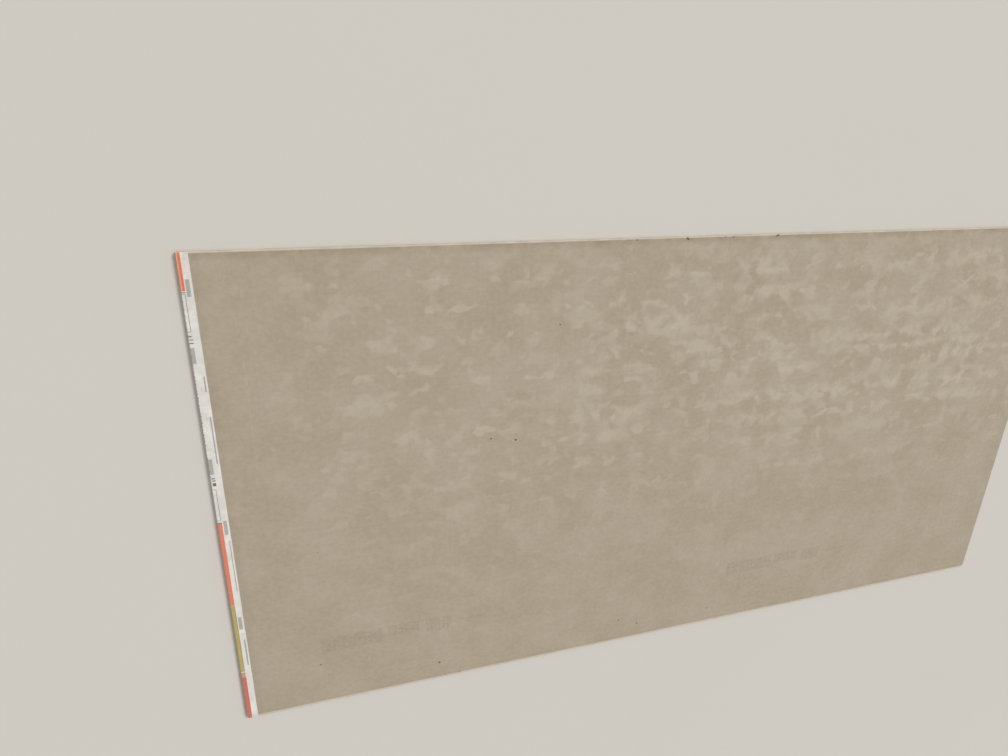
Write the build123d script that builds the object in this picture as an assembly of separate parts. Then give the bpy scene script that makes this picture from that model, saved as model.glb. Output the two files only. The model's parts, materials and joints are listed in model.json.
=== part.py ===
from build123d import *
from build123d.topology.shape_core import SkipClean

import os

# Sizes in millimetres: X runs along the sheet, Y across it, and Z from its face side up to its back

SHEET_LENGTH = 2438.4
SHEET_WIDTH = 1219.2
SHEET_THICKNESS = 12.7

# Papers bonded to the core
FACE_PAPER_THICKNESS = 0.4
BACK_PAPER_THICKNESS = 0.35

# Long edges: the face side is rolled thinner there, so that a joint can be filled flush
TAPER_WIDTH = 60.0
TAPER_DEPTH = 1.6
TAPER_START_RADIUS = 250.0
FACE_CORNER_RADIUS = 1.5
BACK_CORNER_RADIUS = 2.0

# The face paper goes round each long edge and is folded onto the back, under the back paper,
# which lies a little nearer to the edge at +Y
FOLD_WIDTH = 25.0
BACK_PAPER_INSET_PLUS_Y = 3.0
BACK_PAPER_INSET_MINUS_Y = 7.0

# Paper tape folded over one end, cut off where it went on to the sheet's former partner
TAPE_THICKNESS = 0.2
TAPE_WIDTH_ON_BACK = 24.0
TAPE_END_INSET = 1.0
TAPE_FACE_INSET = 0.6

# Places that follow from the sizes above
TAPED_END_X = (TAPE_THICKNESS - SHEET_LENGTH) / 2
WRAPPED_TOP_Z = SHEET_THICKNESS - BACK_PAPER_THICKNESS
HALF_WIDTH = SHEET_WIDTH / 2
BACK_PAPER_LOW_Y = BACK_PAPER_INSET_MINUS_Y - HALF_WIDTH
BACK_PAPER_HIGH_Y = HALF_WIDTH - BACK_PAPER_INSET_PLUS_Y
TAPE_HALF_LENGTH = HALF_WIDTH - TAPE_END_INSET


def along_sheet(section, start=TAPED_END_X, length=SHEET_LENGTH):
    """Carries a section, drawn in Y and Z, along the sheet from a place on X."""
    placed = Plane(origin=(start, 0, 0), x_dir=(0, 1, 0), z_dir=(1, 0, 0)) * section
    return extrude(placed, amount=length, dir=(1, 0, 0))


def band(low_y, high_y, low_z, high_z):
    """A level strip of the section, between two places across the sheet and two heights."""
    middle = Pos((low_y + high_y) / 2, (low_z + high_z) / 2)
    return middle * Rectangle(high_y - low_y, high_z - low_z)


def wrapped_section():
    """The sheet without its back paper: flat face, tapers, and rounded long edges."""
    corners = [
        (HALF_WIDTH - TAPER_WIDTH, 0),
        (HALF_WIDTH, TAPER_DEPTH),
        (HALF_WIDTH, WRAPPED_TOP_Z),
    ]
    radii = [TAPER_START_RADIUS, FACE_CORNER_RADIUS, BACK_CORNER_RADIUS]
    other_corners = [(-y, z) for y, z in reversed(corners)]
    outline = FilletPolyline(*corners, *other_corners, radius=radii + radii[::-1], close=True)
    return make_face(outline)


def core_section():
    """What the papers enclose: it stands up to the back paper between the two folds."""
    inside = offset(wrapped_section(), amount=-FACE_PAPER_THICKNESS, kind=Kind.INTERSECTION)
    fold_end = HALF_WIDTH - FOLD_WIDTH
    return inside + band(-fold_end, fold_end, SHEET_THICKNESS / 2, WRAPPED_TOP_Z)


def gypsum_core():
    return along_sheet(core_section())


def face_paper():
    return along_sheet(wrapped_section() - core_section())


def back_paper():
    """One sheet of paper, its top face marked along the tape's inner edge."""
    section = band(BACK_PAPER_LOW_Y, BACK_PAPER_HIGH_Y, WRAPPED_TOP_Z, SHEET_THICKNESS)
    under_tape = along_sheet(section, length=TAPE_WIDTH_ON_BACK)
    free_length = SHEET_LENGTH - TAPE_WIDTH_ON_BACK
    free = along_sheet(section, TAPED_END_X + TAPE_WIDTH_ON_BACK, free_length)
    with SkipClean():
        return under_tape + free


def end_tape():
    """Tape on the back, down its steps at the folds, and down the sheet's end."""
    papered = band(BACK_PAPER_LOW_Y, BACK_PAPER_HIGH_Y, SHEET_THICKNESS / 2, SHEET_THICKNESS)
    sheet_end = wrapped_section() + papered
    covered = offset(sheet_end, amount=TAPE_THICKNESS, kind=Kind.INTERSECTION)
    tape_top = SHEET_THICKNESS + TAPE_THICKNESS
    above_folds = band(-TAPE_HALF_LENGTH, TAPE_HALF_LENGTH, WRAPPED_TOP_Z, tape_top)
    above_slit = band(-TAPE_HALF_LENGTH, TAPE_HALF_LENGTH, TAPE_FACE_INSET, tape_top)
    on_back = along_sheet((covered - sheet_end) & above_folds, length=TAPE_WIDTH_ON_BACK)
    down_end = along_sheet(covered & above_slit, TAPED_END_X - TAPE_THICKNESS, TAPE_THICKNESS)
    return on_back + down_end


PIECES = {
    "gypsum_core": gypsum_core,
    "face_paper": face_paper,
    "back_paper": back_paper,
    "end_tape": end_tape,
}


def main():
    os.makedirs("parts", exist_ok=True)
    for name, make in PIECES.items():
        export_step(make(), f"parts/{name}.step")


main()
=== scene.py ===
import json
import logging
import math
from dataclasses import dataclass
from enum import Enum
from typing import Any

import bmesh
import bpy
import numpy as np
from mathutils import Matrix, Vector, geometry

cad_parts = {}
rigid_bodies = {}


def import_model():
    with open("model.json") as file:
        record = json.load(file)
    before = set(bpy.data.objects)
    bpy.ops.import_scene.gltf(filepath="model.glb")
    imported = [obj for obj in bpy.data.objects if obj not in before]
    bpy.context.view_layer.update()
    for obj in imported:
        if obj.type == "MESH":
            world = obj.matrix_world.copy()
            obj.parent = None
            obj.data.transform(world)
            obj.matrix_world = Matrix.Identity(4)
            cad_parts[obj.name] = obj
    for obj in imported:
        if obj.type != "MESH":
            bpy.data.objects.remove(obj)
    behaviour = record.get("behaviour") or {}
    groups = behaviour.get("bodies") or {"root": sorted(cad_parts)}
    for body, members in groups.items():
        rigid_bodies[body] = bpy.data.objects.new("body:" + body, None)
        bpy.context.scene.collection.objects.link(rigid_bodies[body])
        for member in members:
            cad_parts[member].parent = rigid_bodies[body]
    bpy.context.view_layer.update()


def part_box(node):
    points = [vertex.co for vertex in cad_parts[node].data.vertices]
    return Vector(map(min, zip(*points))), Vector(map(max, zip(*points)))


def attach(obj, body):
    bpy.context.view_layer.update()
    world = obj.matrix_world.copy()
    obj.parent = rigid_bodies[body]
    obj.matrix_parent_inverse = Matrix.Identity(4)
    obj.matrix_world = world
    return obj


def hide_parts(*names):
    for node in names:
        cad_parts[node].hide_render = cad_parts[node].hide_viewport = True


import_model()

MM = 0.001
# Name of the mask kept on each point: torn paper, and painted shade in the notches, nicks and pits
WEAR_AND_SHADE = "worn"
TAPE_MAP = "TapeUV"
SHARP = math.radians(38)
QUARTER = math.pi / 2
ORIGIN = (0.0, 0.0, 0.0)
LOG = logging.getLogger("drywall")

Colour = tuple[float, float, float]
Faces = list[tuple[int, ...]]


def srgb(red: float, green: float, blue: float) -> Colour:
    """Turns a colour as seen on a screen, in steps of 0 to 255, into linear light."""
    parts = [v / 255 for v in (red, green, blue)]
    return tuple(v / 12.92 if v <= 0.04045 else ((v + 0.055) / 1.055) ** 2.4 for v in parts)


def wobble(points: np.ndarray, seed: int) -> np.ndarray:
    """Smooth, repeatable noise.

    Args:
        points: One row for each point, already divided by the length of a wave.
        seed: Which noise.

    Returns:
        One value from -1 to 1 for each point.
    """
    points = np.asarray(points, float)
    points = points[:, None] if points.ndim == 1 else points
    cell = np.floor(points).astype(np.int64)
    part = points - cell
    part = part * part * (3 - 2 * part)
    strides = np.array([374761393, 668265263, 1442695041])[: points.shape[1]]
    total = np.zeros(len(points))
    for corner in np.ndindex(*(2,) * points.shape[1]):
        offset = np.array(corner)
        weight = np.prod(np.where(offset == 1, part, 1 - part), axis=1)
        key = (cell + offset) @ strides + seed * 144665
        key = (key ^ (key >> 13)) * 1274126177
        total += weight * (((key ^ (key >> 16)) & 0xFFFF) / 32767.5 - 1)
    return total


def swell(points: np.ndarray, seed: int) -> np.ndarray:
    """The same noise from 0 to 1."""
    return 0.5 + 0.5 * wobble(points, seed)


def fade(amount: np.ndarray) -> np.ndarray:
    """Falls smoothly from 1 at 0 to 0 at 1 and beyond."""
    kept = 1 - np.clip(amount, 0, 1)
    return kept * kept * (3 - 2 * kept)


def lattice(first: Any, second: Any) -> np.ndarray:
    """Crosses two rows of places into points, one row each."""
    grids = np.meshgrid(first, second)
    return np.c_[grids[0].ravel(), grids[1].ravel()]


def spread(low: float, high: float, coarse: float, fine: float,
           places: list[tuple[float, float]]) -> np.ndarray:
    """Places along a line, closer together where detail needs it.

    Args:
        low: Start of the line.
        high: End of the line.
        coarse: Widest step.
        fine: Step inside the given places.
        places: Middle and half length of each stretch with detail.

    Returns:
        Sorted places, from low to high.
    """
    found = [np.linspace(low, high, max(2, math.ceil((high - low) / coarse) + 1))]
    for middle, half in places:
        start, end = max(low, middle - half), min(high, middle + half)
        if end > start:
            found.append(np.arange(start, end, fine))
    nearest, kept = 0.45 * fine, [low]
    for place in np.unique(np.concatenate(found))[1:-1]:
        if place - kept[-1] > nearest and high - place > nearest:
            kept.append(place)
    return np.array(kept + [high])


@dataclass(frozen=True)
class Board:
    """The sheet's sizes in millimetres. Whole sizes of a node come from the frame."""

    taped_end: float
    bare_end: float
    half_width: float
    wrapped_top: float
    back_top: float
    back_low_y: float
    back_high_y: float
    tape_outer: float
    tape_top: float
    tape_half: float
    tape_low: float
    paper: float = 0.4
    taper_width: float = 60.0
    taper_depth: float = 1.6
    taper_start_radius: float = 250.0
    face_corner_radius: float = 1.5
    back_corner_radius: float = 2.0
    fold_width: float = 25.0

    @classmethod
    def from_frame(cls) -> "Board":
        """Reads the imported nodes' boxes.

        Returns:
            The sheet.
        """
        face_low, face_high = (Vector(v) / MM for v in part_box("face_paper"))
        back_low, back_high = (Vector(v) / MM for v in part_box("back_paper"))
        tape_low, tape_high = (Vector(v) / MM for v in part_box("end_tape"))
        return cls(
            taped_end=face_low.x, bare_end=face_high.x, half_width=face_high.y, wrapped_top=face_high.z,
            back_top=back_high.z, back_low_y=back_low.y, back_high_y=back_high.y, tape_outer=tape_low.x,
            tape_top=tape_high.z, tape_half=tape_high.y, tape_low=tape_low.z,
        )

    def outline(self) -> tuple[np.ndarray, np.ndarray]:
        """Follows the wrapped section from one fold's end, round the face, to the other's.

        Returns:
            The points (y, z) and the outward direction at each.
        """
        y, top = self.half_width, self.wrapped_top
        slope = math.atan2(self.taper_depth, self.taper_width)
        turn = QUARTER - slope
        rows: list[tuple[float, float, float]] = []
        radius = self.back_corner_radius
        for inset in (self.fold_width, 18, 12, 9, 7.2, 6.4, 5.6, 4.8, 4.0, 3.3, 2.6):
            rows.append((y - inset, top, QUARTER))
        for step in range(9):
            angle = QUARTER * (1 - step / 8)
            height = top - radius + radius * math.sin(angle)
            rows.append((y - radius + radius * math.cos(angle), height, angle))
        for height in (9.6, 8.8, 8.0, 7.0, 5.5, 4.2):
            rows.append((y, height, 0.0))
        radius = self.face_corner_radius
        middle_z = self.taper_depth + radius * (math.sin(turn) + math.tan(slope) * (1 - math.cos(turn)))
        for step in range(7):
            angle = -turn * step / 6
            rows.append((y - radius + radius * math.cos(angle), middle_z + radius * math.sin(angle), angle))
        radius = self.taper_start_radius
        tangent = radius * math.tan(slope / 2)
        flat_y = y - self.taper_width - tangent
        last_y, last_z, _ = rows[-1]
        start_y, start_z = y - self.taper_width + tangent * math.cos(slope), tangent * math.sin(slope)
        for share in (0.25, 0.5, 0.75):
            rows.append((last_y + (start_y - last_y) * share, last_z + (start_z - last_z) * share, -turn))
        for step in range(5):
            angle = slope * (1 - step / 4)
            rows.append((flat_y + radius * math.sin(angle), radius * (1 - math.cos(angle)), angle - QUARTER))
        for share in (0.8, 0.6, 0.4, 0.2):
            rows.append((flat_y * share, 0.0, -QUARTER))
        points = np.array([row[:2] for row in rows])
        normals = np.array([(math.cos(angle), math.sin(angle)) for *_, angle in rows])
        mirror = np.array([-1.0, 1.0])
        return (np.concatenate([points, [[0.0, 0.0]], points[::-1] * mirror]),
                np.concatenate([normals, [[0.0, -1.0]], normals[::-1] * mirror]))

    def inside(self) -> np.ndarray:
        """The section's points (y, z) on the inner side of its paper."""
        points, normals = self.outline()
        return points - normals * self.paper

    def face_height(self, y: np.ndarray) -> np.ndarray:
        """Height of the sheet's underside at places across it."""
        points, _ = self.outline()
        return np.interp(y, *underside(points, self.wrapped_top / 2))

    def back_height(self, y: np.ndarray, step_length: float = 0.9) -> np.ndarray:
        """Height that the tape lies on: the back paper, the steps beside it, and the rounded edges.

        Args:
            y: Places across the sheet.
            step_length: How far the tape takes to come down from the back paper.

        Returns:
            One height for each place.
        """
        beside = np.maximum(y - self.back_high_y, self.back_low_y - y)
        step = self.wrapped_top + (self.back_top - self.wrapped_top) * fade(beside / step_length)
        radius = self.back_corner_radius
        into_corner = np.clip(np.abs(y) - (self.half_width - radius), 0, radius)
        return step - (radius - np.sqrt(radius * radius - into_corner * into_corner))


def underside(section: np.ndarray, limit: float) -> tuple[np.ndarray, np.ndarray]:
    """A section's points below a limit, as a line that can be read off across the sheet.

    Args:
        section: Points (y, z).
        limit: The height below which a point counts.

    Returns:
        The places across and the heights, sorted.
    """
    lower = section[section[:, 1] < limit]
    order = np.argsort(lower[:, 0])
    return lower[order, 0], lower[order, 1]


@dataclass(frozen=True)
class Dent:
    """A crushed or torn place at an arris, in millimetres.

    Its middle lies inset from the arris, it slants by so much along for each millimetre across, and its
    stain_and_shade is how dark it is painted: torn paper, and painted shade in its hollow.
    """

    along: float
    half_length: float
    depth: float
    reach: float
    # How dark the place is painted: torn paper, and painted shade in its hollow
    stain_and_shade: float = 0.0
    inset: float = 0.0
    slant: float = 0.0

    def half(self) -> float:
        """Half of the stretch that it takes up at any depth."""
        return self.half_length + abs(self.slant) * 4


@dataclass(frozen=True)
class Arris:
    """An upper arris of the board: it follows axis run, faces along axis out, and lies at side and top."""

    run: int
    out: int
    side: float
    top: float
    dents: tuple[Dent, ...]
    ripple: float
    ripple_length: float
    ripple_reach: float
    seed: int
    # How much of a dent's depth goes inwards, inwards away from the arris itself, and down
    inwards = 0.75
    inwards_inset = 0.15
    down = 0.65

    def crush(self, points: np.ndarray) -> tuple[np.ndarray, np.ndarray]:
        """Presses points near the arris inwards.

        Args:
            points: Points of a piece, one row each.

        Returns:
            How far each point moves, and how dark it is painted from 0 to 1: torn paper, and painted shade in
            the dents.
        """
        sign = math.copysign(1, self.side)
        along = points[:, self.run]
        across = np.maximum((self.side - points[:, self.out]) * sign, 0)
        below = np.maximum(self.top - points[:, 2], 0)
        ripple = self.ripple * swell(along / self.ripple_length, self.seed)
        ripple = ripple * fade(np.hypot(across, below) / self.ripple_reach)
        inward, down = self.inwards * ripple, self.down * ripple
        worn = np.zeros(len(points))
        rough = 1 + 0.25 * wobble(np.c_[along / 1.7, across / 2.3], self.seed + 7)
        for dent in self.dents:
            offset = across - dent.inset
            inside = np.clip(1 - ((along - dent.along - dent.slant * offset) / dent.half_length) ** 2, 0, 1)
            hold = inside * fade(np.hypot(offset, below) / dent.reach)
            crushed = dent.depth * hold * rough
            inward = np.maximum(inward, crushed * (self.inwards_inset if dent.inset else self.inwards))
            down = np.maximum(down, self.down * crushed)
            # Torn paper, and painted shade in the dent's hollow
            worn = np.maximum(worn, dent.stain_and_shade * np.clip(1.5 * hold, 0, 1))
        move = np.zeros_like(points)
        move[:, self.out] = -sign * inward
        move[:, 2] = -down
        return move, worn


@dataclass
class Wear:
    """Everything that bends or darkens the sheet's layers together, so that none cuts through the next:
    dents, with their torn paper and painted shade.
    """

    board: Board

    # Distance from the taped end, half length, depth, darkness (stain and painted shade in the nick),
    # distance in from the arris, and slant
    edge_nicks = (
        (868, 3.2, 0.5, 0.3, 4.0, 0.0), (889, 3.6, 0.5, 0.35, 4.0, 0.0), (987, 4.5, 0.8, 0.45, 4.8, 0.4),
        (1011, 4.2, 0.9, 0.6, 4.6, -0.3), (1149.4, 4.0, 1.8, 1.0, 5.0, 0.8), (1256, 4.0, 0.9, 0.55, 3.4, 0.0),
        (1279.5, 5.0, 1.0, 0.6, 4.6, 0.5), (1411, 4.4, 1.7, 1.0, 3.8, -1.2), (1452, 3.0, 0.7, 0.5, 4.2, 0.0),
        (1921, 4.2, 0.9, 0.5, 4.0, 0.6), (2203, 5.0, 0.8, 0.4, 0.0, 0.0),
    )
    lower_nicks = (
        (527, 3.2, 0.8, 0.6, 7.0, 0.0), (567, 3.8, 0.9, 0.7, 7.2, 0.3), (1685, 4.0, 0.8, 0.5, 7.0, 0.0),
        (2051, 5.0, 0.9, 0.35, 0.0, 0.0),
    )
    # Small pits: distance from the taped end and from the -Y edge, radius, depth and darkness (stain and
    # painted shade in the pit)
    pits = (
        (718, 721, 4.4, 0.29, 1.0), (653, 732, 3.2, 0.28, 1.0), (824, 1017, 2.9, 0.28, 1.0),
        (510, 56, 5.0, 0.3, 0.85), (1060, 76, 4.2, 0.3, 0.75), (1123, 50, 4.6, 0.3, 0.75),
        (1368, 53, 4.2, 0.3, 0.65), (194, 130, 4.4, 0.27, 0.65), (154, 124, 3.4, 0.24, 0.4),
        (314, 124, 3.0, 0.27, 0.55), (1353, 146, 3.6, 0.28, 0.5), (213, 476, 3.2, 0.27, 0.6),
        (114, 1213, 3.0, 0.25, 0.4), (1904, 388, 3.4, 0.28, 0.6), (2187, 905, 4.0, 0.29, 0.6),
    )
    # The row of notches torn along the tape's crease, and the ones that stand alone; the core and paper in
    # them are painted fully dark as shadow
    scallop_start = 762.0
    scallop_end = 985.0
    scallop_step = 9.2
    scallop_rim = 1.6
    small_scallops = (24, 97, 231, 704, 717, 729, 745, 1001, 1017, 1046, 1060, 1074, 1088, 1102, 1119, 1171)

    def __post_init__(self) -> None:
        """Turns the listed places into the frame's coordinates."""
        board = self.board
        x0, wide = board.taped_end, board.half_width

        def nicks(rows: tuple[tuple[float, ...], ...]) -> tuple[Dent, ...]:
            """Makes a dent of each listed row."""
            return tuple(Dent(x0 + x, half, deep, 2.6 + 1.5 * deep, *rest) for x, half, deep, *rest in rows)

        rng = np.random.default_rng(11)
        scallops = []
        at = self.scallop_start
        while at < self.scallop_end:
            half, deep = rng.uniform(1.8, 3.3), rng.uniform(1.0, 2.1)
            # Painted shadow: the core and paper under each notch are painted fully dark
            scallops.append(Dent(at - wide, half, 0.7, self.scallop_rim + deep, 1.0))
            at += self.scallop_step * rng.uniform(0.7, 1.3)
        scallops += [Dent(at - wide, 1.8, 0.6, 2.9, 1.0) for at in self.small_scallops]
        bare_dents = (Dent(4 - wide, 7, 1.5, 5.5, 0.3), Dent(388 - wide, 6, 1.0, 4.5, 0.3),
                      Dent(wide - 3, 6, 1.3, 5, 0.3))
        self.scallops = tuple(scallops)
        self.arrises = [
            Arris(0, 1, wide, board.wrapped_top, nicks(self.edge_nicks),
                  ripple=0.2, ripple_length=31.0, ripple_reach=2.5, seed=21),
            Arris(0, 1, -wide, board.wrapped_top, nicks(self.lower_nicks),
                  ripple=0.2, ripple_length=27.0, ripple_reach=2.5, seed=22),
            Arris(1, 0, board.taped_end, board.back_top, self.scallops,
                  ripple=0.35, ripple_length=8.0, ripple_reach=2.6, seed=23),
            Arris(1, 0, board.bare_end, board.back_top, bare_dents,
                  ripple=0.45, ripple_length=5.0, ripple_reach=2.2, seed=24),
        ]
        self.pocks = [(x0 + x, y - wide, *rest) for x, y, *rest in self.pits]

    def press(self, points: np.ndarray) -> tuple[np.ndarray, np.ndarray]:
        """Bends a piece's points as the worn board does.

        Args:
            points: Points in millimetres, one row each.

        Returns:
            The moved points, and how dark each is painted: torn paper, stain and painted shade in the dents
            and pits.
        """
        moved, worn = points.copy(), np.zeros(len(points))
        for arris in self.arrises:
            # How dark each point is painted at the arris: torn paper, and painted shade in the dents
            move, soiled = arris.crush(points)
            moved += move
            worn = np.maximum(worn, soiled)
        on_back = points[:, 2] > self.board.back_top - 0.01
        for x, y, radius, depth, stain_and_shade in self.pocks:
            hold = fade(np.hypot(points[:, 0] - x, (points[:, 1] - y) * 1.15) / radius) * on_back
            moved[:, 2] -= depth * hold
            # Stain and painted shade in the pit's hollow
            worn = np.maximum(worn, stain_and_shade * np.clip(2.6 * hold, 0, 1))
        return moved, worn

    def along_x(self) -> list[tuple[float, float]]:
        """Stretches along the sheet where its long edges need detail."""
        return [(dent.along, dent.half() + 1.5) for arris in self.arrises[:2] for dent in arris.dents]

    def along_y(self) -> list[tuple[float, float]]:
        """Stretches across the taped end that need detail."""
        return [(dent.along, dent.half_length + 2.0) for dent in self.scallops]


def link(name: str, data: Any) -> bpy.types.Object:
    """Puts something into the scene as an object.

    Args:
        name: The object's name.
        data: A mesh, camera or lamp.

    Returns:
        The object.
    """
    made = bpy.data.objects.new(name, data)
    bpy.context.scene.collection.objects.link(made)
    return made


def raw_object(name: str, points: Any, edges: Faces, faces: Faces) -> bpy.types.Object:
    """Makes an object of points in millimetres.

    Args:
        name: The object's name.
        points: One row each.
        edges: Pairs of point numbers.
        faces: Each face's point numbers.

    Returns:
        The object, in the scene.
    """
    mesh = bpy.data.meshes.new(name)
    mesh.from_pydata((np.asarray(points) * MM).tolist(), edges, faces)
    return link(name, mesh)


def shade(mesh: bpy.types.Mesh) -> None:
    """Shades a mesh smoothly up to sharp corners."""
    mesh.shade_smooth()
    mesh.set_sharp_from_angle(angle=SHARP)


def note_wear_and_shade(mesh: bpy.types.Mesh, worn: np.ndarray) -> None:
    """Shades a final mesh and keeps its wear and painted shade.

    Args:
        mesh: The mesh.
        worn: How dark each of its points is painted, for wear and for painted shade.
    """
    shade(mesh)
    layer = mesh.attributes.new(WEAR_AND_SHADE, "FLOAT", "POINT")
    layer.data.foreach_set("value", worn.astype(np.float32))


def mesh_object(name: str, points: np.ndarray, faces: Faces, material: bpy.types.Material,
                worn: np.ndarray | None = None) -> bpy.types.Object:
    """Makes a dressed, smooth-shaded object of points in millimetres.

    Args:
        name: The object's name.
        points: Its vertices, in the board's frame.
        faces: Each face's vertex numbers.
        material: What it wears.
        worn: How dark each vertex is painted, for wear and for painted shade, if it matters.

    Returns:
        The object, in the scene.
    """
    piece = raw_object(name, points, [], faces)
    piece.data.validate()
    note_wear_and_shade(piece.data, np.zeros(len(piece.data.vertices)) if worn is None else worn)
    piece.data.materials.append(material)
    return piece


def read(data: Any, name: str, width: int) -> np.ndarray:
    """Reads a property of a mesh's vertices or corners.

    Args:
        data: The vertices or corners.
        name: The property.
        width: How many numbers each has.

    Returns:
        One row each.
    """
    values = np.empty(len(data) * width, np.float32)
    data.foreach_get(name, values)
    return values.reshape(-1, width)


def sound(mesh: bpy.types.Mesh, sliver: float = 1e-6) -> None:
    """Leaves a mesh one closed part of small faces, without crumbs or slivers.

    Args:
        mesh: The mesh, changed in place.
        sliver: The length in metres below which an edge goes.
    """
    grid = bmesh.new()
    grid.from_mesh(mesh)
    bmesh.ops.remove_doubles(grid, verts=grid.verts, dist=sliver)
    bmesh.ops.triangulate(grid, faces=grid.faces)
    alike: dict[frozenset, list] = {}
    for face in grid.faces:
        alike.setdefault(frozenset(face.verts), []).append(face)
    folded = [face for faces in alike.values() if len(faces) > 1 for face in faces]
    bmesh.ops.delete(grid, geom=folded, context="FACES")
    bmesh.ops.dissolve_degenerate(grid, edges=grid.edges, dist=sliver)
    left, parts = set(grid.faces), []
    while left:
        waiting, part = [left.pop()], []
        while waiting:
            part.append(waiting.pop())
            near = {face for edge in part[-1].edges for face in edge.link_faces} & left
            left -= near
            waiting += near
        parts.append(part)
    crumbs = [face for part in sorted(parts, key=len)[:-1] for face in part]
    bmesh.ops.delete(grid, geom=crumbs, context="FACES")
    grid.to_mesh(mesh)
    grid.free()


def ring_faces(first: list[int], second: list[int]) -> Faces:
    """Joins two closed rings of as many vertices with quads."""
    count = len(first)
    return [(first[k], first[(k + 1) % count], second[(k + 1) % count], second[k]) for k in range(count)]


class Value:
    """A node's output that can be reckoned with: each operation adds a node to its graph."""

    def __init__(self, graph: "Graph", socket: bpy.types.NodeSocket) -> None:
        """Holds one output."""
        self.graph, self.socket = graph, socket

    def math(self, operation: str, *others: Any) -> "Value":
        """Adds a Math node that starts from this value."""
        return self._reckon(operation, self, *others)

    def _reckon(self, operation: str, *values: Any) -> "Value":
        """Adds a Math node, or a Vector Math node if this output is a vector or a colour."""
        kind = "Vector" if self.socket.type in ("VECTOR", "RGBA") else ""
        return self.graph.add(f"ShaderNode{kind}Math", dict(enumerate(values)), operation=operation)

    def __add__(self, other: Any) -> "Value":
        """Adds."""
        return self._reckon("ADD", self, other)

    def __radd__(self, other: Any) -> "Value":
        """Adds to a plain number."""
        return self._reckon("ADD", other, self)

    def __sub__(self, other: Any) -> "Value":
        """Takes away."""
        return self._reckon("SUBTRACT", self, other)

    def __rsub__(self, other: Any) -> "Value":
        """Takes this away from a plain number."""
        return self._reckon("SUBTRACT", other, self)

    def __mul__(self, other: Any) -> "Value":
        """Multiplies."""
        return self._reckon("MULTIPLY", self, other)

    def __truediv__(self, other: Any) -> "Value":
        """Divides."""
        return self._reckon("DIVIDE", self, other)

    def __getitem__(self, output: Any) -> "Value":
        """Gives another output of the same node."""
        return Value(self.graph, self.socket.node.outputs[output])

    def smooth(self, low: Any, high: Any) -> "Value":
        """Rises smoothly from 0 at low to 1 at high."""
        return self.graph.add("ShaderNodeMapRange", {"Value": self, "From Min": low, "From Max": high},
                              interpolation_type="SMOOTHSTEP", clamp=True)

    def noise(self, scale: float = 1.0, detail: float = 2.0, roughness: float = 0.5,
              output: str = "Fac") -> "Value":
        """Reads a Noise Texture at this vector.

        Args:
            scale: Waves for each unit.
            detail: Finer layers.
            roughness: Strength of the finer layers.
            output: Fac or Color.

        Returns:
            The chosen output.
        """
        inputs = {"Vector": self, "Scale": scale, "Detail": detail, "Roughness": roughness}
        return self.graph.add("ShaderNodeTexNoise", inputs, output)

    def drift(self, scale: float, detail: float, roughness: float) -> "Value":
        """Reads the same noise as a vector of about -0.5 to 0.5 each way."""
        return self.noise(scale, detail, roughness, "Color") - 0.5

    def parts(self) -> list["Value"]:
        """Gives this vector's three parts."""
        node = self.graph.add("ShaderNodeSeparateXYZ", {0: self})
        return [node[number] for number in range(3)]


class Graph:
    """Adds nodes to one node tree and joins them."""

    def __init__(self, tree: bpy.types.NodeTree) -> None:
        """Starts on a tree, which may hold nodes already."""
        self.tree = tree

    def put(self, socket: bpy.types.NodeSocket, value: Any) -> None:
        """Links a socket to an output, or sets its own value.

        Args:
            socket: The input to feed.
            value: An output, or a plain value. One number fills a vector.
        """
        if isinstance(value, Value):
            self.tree.links.new(value.socket, socket)
        elif socket.type == "RGBA" and len(value) == 3:
            socket.default_value = (*value, 1.0)
        elif socket.type == "VECTOR" and not isinstance(value, tuple):
            socket.default_value = (value,) * 3
        else:
            socket.default_value = value

    def add(self, kind: str, inputs: dict[Any, Any] | None = None, output: Any = 0, **settings: Any) -> Value:
        """Adds a node.

        Args:
            kind: The node's type name.
            inputs: A value or output for each of its inputs, by name or number.
            output: Which output is wanted, by name or number.
            **settings: The node's own options.

        Returns:
            The wanted output.
        """
        made = self.tree.nodes.new(kind)
        for key, value in settings.items():
            setattr(made, key, value)
        for key, value in (inputs or {}).items():
            self.put(made.inputs[key], value)
        return Value(self, made.outputs[output])

    def mix(self, factor: Any, first: Any, second: Any, blend: str = "MIX") -> Value:
        """Mixes two colours."""
        return self.add("ShaderNodeMix", {0: factor, 6: first, 7: second}, 2, data_type="RGBA",
                        blend_type=blend, clamp_factor=True)

    def join(self, x: Any, y: Any, z: Any = 0.0) -> Value:
        """Makes a vector of three parts."""
        return self.add("ShaderNodeCombineXYZ", {0: x, 1: y, 2: z})

    def most(self, values: list[Value]) -> Value:
        """Gives the largest of several masks.

        Args:
            values: The masks.

        Returns:
            The largest at each place.
        """
        largest = values[0]
        for value in values[1:]:
            largest = largest.math("MAXIMUM", value)
        return largest


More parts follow.
